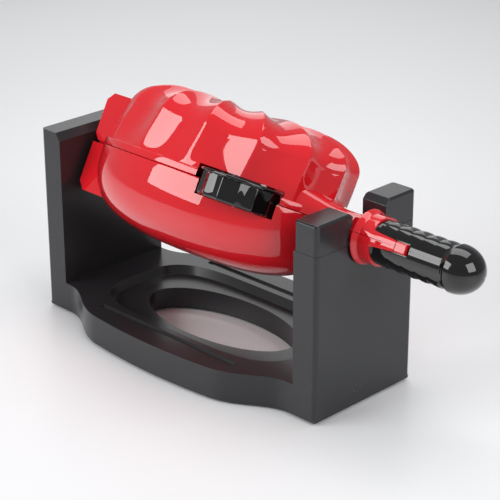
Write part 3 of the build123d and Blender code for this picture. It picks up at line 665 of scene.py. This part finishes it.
def round_tool(name, radius, low, high, centre):
    """Plain cylinder across the seam, in millimetres round a centre in head axes."""
    z = np.array([low, high])[:, None] * MM
    grid = oval_rows(np.ones((2, 1)), z, full_turn(160), radius * MM, radius * MM)
    grid[..., :2] += centre[:2]
    return solid_piece(name, grid)


def box_tool(name, x, y, z):
    """Plain block between limits in millimetres in head axes."""
    ring = [(x[0], y[0]), (x[1], y[0]), (x[1], y[1]), (x[0], y[1])]
    corners = np.array([[(*corner, height) for corner in ring] for height in z], float) * MM
    return solid_piece(name, corners)


def open_for_dial(solid, core, outside, centre, radius, floor, past_seam):
    """Hollow a shell and cut the dial's hole, with a radius and floor in millimetres. A cup that
    is a wall larger than the hole, kept inside the shell's outline, is joined before the cut."""
    cup_floor = floor + math.copysign(CUP_WALL, floor)
    cup_rim = math.copysign(CUP_RIM, floor)
    cup = round_tool("cup", radius + CUP_WALL, *sorted((cup_floor, cup_rim)), centre)
    carve(cup, solid_piece("inset", outside * CUP_INSET), "INTERSECT")
    carve(solid, core)
    carve(solid, cup, "UNION")
    carve(solid, round_tool("hole", radius, *sorted((floor, past_seam)), centre))


def half_section(height, half_width, sign, start, power=2.0):
    """Closed half section above or below the seam, as (y, z) points of a superellipse that
    starts a little off the seam."""
    turn = np.linspace(0, math.pi, 64)
    y = half_width * np.sign(np.cos(turn)) * np.abs(np.cos(turn)) ** (2 / power)
    z = sign * (start + (height - start) * np.abs(np.sin(turn)) ** (2 / power))
    return np.stack([y, z], -1)


def run_along(name, sections, places):
    """Closed body from (y, z) sections set at places along x."""
    rows = [np.column_stack([np.full(len(part), x), part]) for part, x in zip(sections, places)]
    return solid_piece(name, np.stack(rows))


def bracket(name, sign, start, reach, slim, added, share):
    """Half body from a wide root to a slim end. Each section's height, half width and power are
    the slim ones plus its share of what is added at the root."""
    edge = head_sizes().gap / 2
    sections = []
    for part in share:
        height, half_width, power = np.array(slim) + np.array(added) * part
        sections.append(half_section(height, half_width, sign, edge, power))
    return run_along(name, sections, start + reach * np.linspace(0, 1, len(share)))


def collar_disc(sign):
    """Half disc that closes the collar between the neck's end and the grip."""
    radius = 0.0195
    section = half_section(radius, radius, sign, SEAM_SLIT)
    return run_along("disc", [section, section], [NECK_END, DISC_END])


def lower_neck():
    """Lower half of the round neck, from inside the bowl's root to the collar."""
    radius = handle_sizes().neck_radius
    section = half_section(radius, radius, -1, SEAM_SLIT)
    inside_root = 0.119
    return run_along("neck", [section, section], [inside_root, NECK_END])


def upper_neck():
    """Upper half of the neck, from inside the fairing to the collar: the round neck's top arc
    between two flat sides."""
    size = handle_sizes()
    radius, half_width = size.neck_radius, size.neck_half_width
    arc = math.asin(half_width / radius)
    turn = (math.pi / 2 + np.linspace(-arc, arc, 24))[::-1]
    crown = radius * np.stack([-np.cos(turn), np.sin(turn)], -1)
    foot = np.array([[-half_width, SEAM_SLIT], [half_width, SEAM_SLIT]])
    section = np.concatenate([crown, foot])
    inside_fairing = 0.134
    return run_along("neck", [section, section], [inside_fairing, NECK_END])


def collar_grid(sign):
    """Outer and inner sheet of a half collar with its tongue. The half tube flares at the neck
    and tapers towards the tongue. Its free end reaches further in the middle of the front, by
    the seventh power of a smooth step on the distance from the seam, which rounds the tongue's
    root. The bore takes the grip's shank and is narrower under the tongue."""
    size = handle_sizes()
    edge = head_sizes().gap / 2
    start = math.asin(edge / size.collar_radius)
    turn = np.linspace(start, math.pi - start, 120)[None, :]
    front = -np.cos(turn)
    height = size.collar_radius * np.sin(turn)
    lip, tongue = 0.3 * MM, 24.7 * MM
    reach = (1 - smooth_step(height, 4.6 * MM, 10.5 * MM)) ** 7
    free = lip + tongue * reach * (front < 0)
    x = np.concatenate([
        np.linspace(COLLAR_START, COLLAR_END, 24)[:, None] + np.zeros_like(free),
        COLLAR_END + free * np.linspace(0, 1, 20)[1:, None],
    ])
    flare = 2.6 * MM * (1 - smooth_step(x, COLLAR_START, 176.5 * MM))
    taper = 0.7 * MM * smooth_step(x, 184 * MM, 195 * MM)
    outer = size.collar_radius + flare - taper
    inner = SHANK_RADIUS - 1.6 * MM * smooth_step(x, COLLAR_END, 188 * MM)
    skin = np.stack([x, outer * front, sign * outer * np.sin(turn)], -1)
    lining = np.stack([x, inner * front, sign * inner * np.sin(turn)], -1)
    return skin, lining


def collar_piece(name, sign):
    """Closed half collar from its outer and inner grids, joined along their edges."""
    skin, lining = collar_grid(sign)
    rows, columns = skin.shape[:2]
    count = rows * columns
    sheet = ring_faces(rows, columns, around=False)
    index = np.arange(count).reshape(rows, columns)
    border = np.concatenate([
        index[0, :-1], index[:-1, -1], index[-1, :0:-1], index[:0:-1, 0],
    ])
    after = np.roll(border, -1)
    rim = np.stack([border, after, after + count, border + count], -1)
    faces = sheet.tolist() + (sheet + count)[:, ::-1].tolist() + rim.tolist()
    points = np.concatenate([skin.reshape(-1, 3), lining.reshape(-1, 3)])
    return new_piece(name, to_row(points), faces)


def grip_piece(name, sign):
    """Half grip, from the shank in the collar to a round end. Its radius is waved by a rectified
    sine on the top or bottom only, its front and back are flattened, and its end is a dome: the
    root of one minus the square of the way along it. A low rib on its flat side closes the seam
    from inside. The tongue's slot is cut from its front."""
    size = handle_sizes()
    edge = head_sizes().gap / 2
    shank_start, shank_end, body_start, body_end = np.array([177.0, 187.2, 187.3, 262.0]) * MM
    shoulder = 187.25 * MM
    waves_start, waves_length = 192 * MM, 66 * MM
    dome_length, last_ring = 23 * MM, 22.9 * MM
    turn = np.linspace(0, math.pi, 73)[None, :]
    x = np.concatenate([
        [shank_start, shank_end],
        np.linspace(body_start, body_end, 130),
        body_end + last_ring * np.sin(np.linspace(0.004, math.pi / 2, 40)),
    ])[:, None]
    along = (x - waves_start) / waves_length
    waved = (along > 0) & (along < 1)
    wave = np.abs(np.sin(np.clip(along, 0, 1) * size.waves * math.pi)) ** 0.8
    crown = np.clip(np.sin(turn), 0, 1) ** 7
    radius = np.where(x < shoulder, SHANK_RADIUS, size.grip_radius - 0.4 * MM)
    radius = radius + waved * crown * (wave - 0.55) * size.wave_height
    radius = radius + 1.3 * MM * smooth_step(x, 259.5 * MM, body_end)
    past_body = np.clip(x - body_end, 0, None) / dome_length
    radius = radius * np.sqrt(np.clip(1 - past_body ** 2, 0, 1))
    flat = smooth_step(np.abs(np.cos(turn)), 0.55, 1.0) * 1.1 * MM
    flat = flat * smooth_step(x, shoulder, 190 * MM) * (1 - smooth_step(x, 256 * MM, 260 * MM))
    half_width = radius - flat
    y = half_width * np.cos(turn)
    z = sign * np.maximum(edge, radius * np.sin(turn))
    rib = np.maximum(half_width[:, :1] - 1.5 * MM, 0.5 * half_width[:, :1])
    rib_y = rib * np.array([[-1, -1, 1, 1]])
    rib_z = sign * np.array([[edge, SEAM_SLIT, SEAM_SLIT, edge]]) + np.zeros_like(rib_y)
    y = np.concatenate([y, rib_y], 1)
    z = np.concatenate([z, rib_z], 1)
    grip = solid_piece(name, np.stack(np.broadcast_arrays(x, y, z), -1))
    carve(grip, box_tool("slot", x=(186, 224), y=(-25, -14.3), z=(sign * 5.3, -sign * 1)))
    shade(grip, sharp=40.0)
    return grip


def dial_grid(columns):
    """Dial from its top round to its bore: a flange over a wheel whose radius has hollows, the
    softened |sine| of half the flute angle. The profile holds radius and height in millimetres,
    and 1 where the hollows are."""
    size = handle_sizes()
    centre = to_head(DIAL_POINT)
    angle = full_turn(columns)
    flange, wheel = size.dial_flange / MM, size.dial_radius / MM
    top, under_flange, foot = 10.0, 7.5, -12.5
    wall, boss, bore = 29.0, 6.0, 3.05
    profile = np.array([
        (4.0, 9.4, 0), (26.0, 9.4, 0), (27.0, top, 0), (flange - 0.8, top, 0),
        (flange - 0.3, 9.8, 0), (flange, 9.3, 0), (flange, 8.2, 0), (flange - 0.3, 7.7, 0),
        (flange - 0.9, under_flange, 0), (wheel - 0.9, under_flange, 0), (wheel - 0.2, 7.0, 1),
        (wheel, 5.8, 1), (wheel, -2.0, 1), (wheel, -10.3, 1), (wheel - 0.5, -11.7, 1),
        (wheel - 1.6, foot, 1), (wall, foot, 0), (wall, 6.5, 0), (boss, 6.5, 0), (boss, foot, 0),
        (bore, foot, 0), (bore, -0.5, 0),
    ])
    hollow = soft_sine(angle * size.dial_flutes / 2, 0.06)
    radius = profile[:, :1] * MM - size.dial_hollow * profile[:, 2:] * hollow
    x = centre[0] + radius * np.cos(angle)
    y = centre[1] + radius * np.sin(angle)
    return np.stack(np.broadcast_arrays(x, y, profile[:, 1:2] * MM), -1)


# Operators, one for each piece or group

class CAKEMAKER_OT_bowl(bpy.types.Operator):
    """Lower shell: the oval bowl with its half neck, collar and tongue"""

    bl_idname = "cakemaker.bowl"
    bl_label = "Bowl"

    def execute(self, context):
        """Bowl wall cut for the dial, then the neck, its root and the collar set against it."""
        columns = 420
        outside = bowl_grid(columns)
        bowl = solid_piece("bowl_solid", outside)
        core = solid_piece("bowl_core", bowl_core_grid(columns))
        open_for_dial(
            bowl, core, outside, to_head(DIAL_POINT), radius=35.0, floor=-13.3, past_seam=20
        )
        radius = handle_sizes().neck_radius
        root = bracket(
            "root", -1, start=0.108, reach=0.031, slim=(radius, radius, 2.0),
            added=(0.012, 0.020, 0.0), share=(1 - np.linspace(0, 1, 14)) ** 2.4,
        )
        pieces = [bowl, lower_neck(), root, collar_piece("collar", -1), collar_disc(-1)]
        whole = joined("lower_shell_skin", pieces)
        place(whole, "lower_head", finish("red"), "lower_shell")
        return {"FINISHED"}


class CAKEMAKER_OT_lid(bpy.types.Operator):
    """Lid: the fluted dome with its fairing, narrow neck, collar and tongue"""

    bl_idname = "cakemaker.lid"
    bl_label = "Lid"

    def execute(self, context):
        """Dome wall cut for the dial, then the fairing, neck and collar. The lid's hole lies a
        little to the left of the dial, which leaves room as the lid swings."""
        columns = head_sizes().flutes * 36
        outside = lid_grid(columns)
        lid = solid_piece("lid_solid", outside)
        core = solid_piece("lid_core", lid_core_grid(columns))
        fairing = bracket(
            "fairing", 1, start=0.098, reach=0.041, slim=(0.0145, 0.0138, 2.2),
            added=(0.0115, 0.0290, 4.0), share=1 - np.linspace(0, 1, 28),
        )
        carve(fairing, core, keep=True)
        room_to_swing = np.array([1.2 * MM, 0, 0])
        centre = to_head(DIAL_POINT) - room_to_swing
        open_for_dial(lid, core, outside, centre, radius=37.8, floor=11.5, past_seam=-5)
        pieces = [lid, fairing, upper_neck(), collar_piece("collar", 1), collar_disc(1)]
        whole = joined("lid_shell_skin", pieces, sharp=30.0)
        place(whole, "lid", finish("red"), "lid_shell")
        return {"FINISHED"}


class CAKEMAKER_OT_hinge(bpy.types.Operator):
    """Hinge blocks at the left end, with their edges rounded"""

    bl_idname = "cakemaker.hinge"
    bl_label = "Hinge blocks"

    def execute(self, context):
        """The lower block with its post, and the lid's block with its cheeks."""
        for node, body in (("lower_hinge_block", "lower_head"), ("lid_hinge_block", "lid")):
            block = clean_copy(node)
            round_edges(block, 0.9 * MM, sharp=28.0)
            place(block, body, finish("red"), node)
        return {"FINISHED"}


class CAKEMAKER_OT_grips(bpy.types.Operator):
    """Both halves of the handle's grip, with finger waves"""

    bl_idname = "cakemaker.grips"
    bl_label = "Grips"

    def execute(self, context):
        """One half below the seam and one above."""
        for node, body, sign in (("lower_grip", "lower_head", -1), ("upper_grip", "lid", 1)):
            grip = grip_piece(f"{node}_skin", sign)
            place(grip, body, finish("gloss_black"), node)
        return {"FINISHED"}


class CAKEMAKER_OT_latch(bpy.types.Operator):
    """Latch button with rounded edges"""

    bl_idname = "cakemaker.latch"
    bl_label = "Latch"

    def execute(self, context):
        """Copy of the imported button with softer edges."""
        button = clean_copy("latch_button")
        round_edges(button, 0.5 * MM)
        # The button's darker red is painted shade of its angled face
        place(button, "latch", finish("latch_red"), "latch_button")
        return {"FINISHED"}


class CAKEMAKER_OT_dial(bpy.types.Operator):
    """Dial wheel with a flange and hollows for the thumb"""

    bl_idname = "cakemaker.dial"
    bl_label = "Dial"

    def execute(self, context):
        """One turned body."""
        grid = dial_grid(handle_sizes().dial_flutes * 48)
        dial = solid_piece("dial_skin", grid, sharp=40.0)
        place(dial, "dial_wheel", finish("gloss_black"), "dial")
        return {"FINISHED"}


class CAKEMAKER_OT_stand(bpy.types.Operator):
    """Stand, caps and plate with moulded edges"""

    bl_idname = "cakemaker.stand"
    bl_label = "Stand"

    def execute(self, context):
        """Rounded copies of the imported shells."""
        for node, width in (
            ("stand_shell", 1.3),
            ("front_column_cap", 1.3),
            ("back_column_cap", 1.3),
            ("bottom_plate", 0.6),
        ):
            shell = clean_copy(node)
            round_edges(shell, width * MM)
            place(shell, "stand", finish("stand_black"), node)
        return {"FINISHED"}


class CAKEMAKER_OT_inner_parts(bpy.types.Operator):
    """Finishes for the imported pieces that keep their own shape"""

    bl_idname = "cakemaker.inner_parts"
    bl_label = "Inner parts"

    def execute(self, context):
        """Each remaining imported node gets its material."""
        kinds = {
            "coating": ("lower_mould", "upper_mould"),
            "tube": ("lower_heating_element", "upper_heating_element"),
            "rubber": ("rubber_feet",),
            "inner_black": (
                "cord_gland", "neck_bearing", "trunnion_bushes", "detent_bracket", "thermostat",
                "thermal_fuse",
            ),
            "steel": (
                "base_screws", "detent_spring", "detent_plunger", "hinge_pin", "trunnion",
                "detent_disc", "lower_mould_screws", "upper_mould_screws", "lower_reflector",
                "upper_reflector", "latch_spring", "dial_spindle",
            ),
        }
        for kind, nodes in kinds.items():
            for node in nodes:
                mesh = frame["nodes"][node].data
                mesh.materials.clear()
                mesh.materials.append(finish(kind))
        return {"FINISHED"}


# The camera's angles in degrees and its place in metres from the floor under the head's middle,
# the photograph's focal length and width in pixels, and the sensor's width in millimetres
CAMERA_AZIMUTH, CAMERA_ELEVATION, CAMERA_ROLL = 44.98, 23.02, -0.19
CAMERA_PLACE = (1.0185, -0.98291, 0.68928)
FOCAL_PIXELS = 1752.71
PHOTO_WIDTH = 500
SENSOR_WIDTH = 36.0

# Name, place, aim, width, height and power in watts of each softbox
SOFTBOXES = (
    ("key_box", (-0.72, -1.35, 0.85), (-0.05, 0.0, 0.15), 1.15, 0.85, 15.0),
    ("side_box", (1.35, -0.15, 0.85), (0.05, 0.0, 0.12), 0.9, 0.9, 9.5),
    ("top_box", (-0.1, 0.3, 1.5), (0.0, 0.0, 0.1), 1.4, 0.9, 10.5),
    ("rim_box", (-0.95, 0.9, 0.7), (-0.05, 0.0, 0.15), 0.7, 0.8, 1.5),
)


class CAKEMAKER_OT_studio(bpy.types.Operator):
    """Pale floor, soft lamps and the camera at the photograph's angle"""

    bl_idname = "cakemaker.studio"
    bl_label = "Studio"

    def execute(self, context):
        """Floor and backdrop, world, softboxes, camera."""
        scene = context.scene
        scene.view_settings.view_transform = "Standard"
        self.floor()
        self.world(scene)
        for box in SOFTBOXES:
            self.lamp(*box)
        self.camera(scene)
        return {"FINISHED"}

    def floor(self):
        """Flat floor that curves up behind the piece: a quarter circle joins it to a wall."""
        front, bend_start, bend, wall_top, half_width = -4.0, 2.2, 1.0, 5.0, 6.0
        turn = np.linspace(0, math.pi / 2, 24)
        run = np.concatenate([[front], bend_start + bend * np.sin(turn), [bend_start + bend]])
        rise = np.concatenate([[0.0], bend - bend * np.cos(turn), [wall_top]])
        x, y = np.meshgrid([-half_width, half_width], run)
        z = np.repeat(rise[:, None], 2, axis=1)
        azimuth = math.radians(CAMERA_AZIMUTH)
        points = np.stack([
            x * math.cos(azimuth) - y * math.sin(azimuth),
            x * math.sin(azimuth) + y * math.cos(azimuth),
            z,
        ], -1).reshape(-1, 3)
        mesh = bpy.data.meshes.new("studio_floor")
        mesh.from_pydata(points.tolist(), [], ring_faces(len(run), 2, around=False).tolist())
        mesh.shade_smooth()
        floor = new_object("studio_floor", mesh)
        make = Finish("cake_maker_floor")
        cloud = make.noise(3.0, 2.0)
        pale = colours().floor
        mesh.materials.append(make.surface(
            Base_Color=make.blend(cloud, tinted(pale, 0.99), pale),
            Roughness=0.32 + cloud * 0.05,
            IOR=1.35,
        ))

    def world(self, scene):
        """Even pale surroundings, which fill the shadows and show in the gloss."""
        scene.world = bpy.data.worlds.new("studio_world")
        scene.world.use_nodes = True
        back = scene.world.node_tree.nodes["Background"]
        back.inputs["Color"].default_value = (0.93, 0.94, 0.96, 1.0)
        back.inputs["Strength"].default_value = 0.32

    def lamp(self, name, at, to, width, height, power):
        """Rectangular area lamp aimed at a point."""
        data = bpy.data.lights.new(name, "AREA")
        data.shape = "RECTANGLE"
        data.size = width
        data.size_y = height
        data.energy = power
        lamp = new_object(name, data)
        lamp.location = at
        aim = Vector(to) - Vector(at)
        lamp.rotation_euler = aim.to_track_quat("-Z", "Y").to_euler()

    def camera(self, scene):
        """Camera fitted to the photograph's perspective: azimuth, elevation, roll and lens."""
        azimuth, elevation, roll = np.radians([CAMERA_AZIMUTH, CAMERA_ELEVATION, CAMERA_ROLL])
        back = np.array([
            math.sin(azimuth) * math.cos(elevation),
            -math.cos(azimuth) * math.cos(elevation),
            math.sin(elevation),
        ])
        right = np.array([math.cos(azimuth), math.sin(azimuth), 0.0])
        up = np.cross(back, right)
        across = right * math.cos(roll) + up * math.sin(roll)
        upward = up * math.cos(roll) - right * math.sin(roll)
        data = bpy.data.cameras.new("photo_camera")
        data.sensor_width = SENSOR_WIDTH
        data.lens = FOCAL_PIXELS / PHOTO_WIDTH * SENSOR_WIDTH
        camera = new_object("photo_camera", data)
        turn = Matrix((across, upward, back)).transposed().to_4x4()
        x, y, z = CAMERA_PLACE
        camera.matrix_world = Matrix.Translation((x + FLIP_POINT[0], y, z)) @ turn
        scene.camera = camera


OPERATORS = (
    CAKEMAKER_OT_stand,
    CAKEMAKER_OT_bowl,
    CAKEMAKER_OT_lid,
    CAKEMAKER_OT_hinge,
    CAKEMAKER_OT_grips,
    CAKEMAKER_OT_latch,
    CAKEMAKER_OT_dial,
    CAKEMAKER_OT_inner_parts,
    CAKEMAKER_OT_studio,
)


class CAKEMAKER_PT_sidebar(bpy.types.Panel):
    """Sidebar with the sizes and a button for each group of pieces"""

    bl_idname = "CAKEMAKER_PT_sidebar"
    bl_label = "Cake Maker"
    bl_space_type = "VIEW_3D"
    bl_region_type = "UI"
    bl_category = "Cake Maker"

    def draw(self, context):
        """List every size, colour and operator."""
        scene = context.scene
        for group in (scene.cake_maker_head, scene.cake_maker_handle, scene.cake_maker_colours):
            box = self.layout.box()
            for key in group.bl_rna.properties.keys():
                if key not in {"rna_type", "name"}:
                    box.prop(group, key)
        for operator in OPERATORS:
            self.layout.operator(operator.bl_idname)


GROUPS = (CakeMakerHeadSizes, CakeMakerHandleSizes, CakeMakerColours)


def register():
    """Register the groups, operators and panel."""
    for kind in GROUPS + OPERATORS + (CAKEMAKER_PT_sidebar,):
        bpy.utils.register_class(kind)
    bpy.types.Scene.cake_maker_head = PointerProperty(type=CakeMakerHeadSizes)
    bpy.types.Scene.cake_maker_handle = PointerProperty(type=CakeMakerHandleSizes)
    bpy.types.Scene.cake_maker_colours = PointerProperty(type=CakeMakerColours)


def unregister():
    """Take them away again."""
    del bpy.types.Scene.cake_maker_colours
    del bpy.types.Scene.cake_maker_handle
    del bpy.types.Scene.cake_maker_head
    for kind in reversed(GROUPS + OPERATORS + (CAKEMAKER_PT_sidebar,)):
        bpy.utils.unregister_class(kind)


def main():
    """Build every piece."""
    register()
    for operator in OPERATORS:
        group, action = operator.bl_idname.split(".")
        getattr(getattr(bpy.ops, group), action)()


if __name__ == "__main__":
    main()
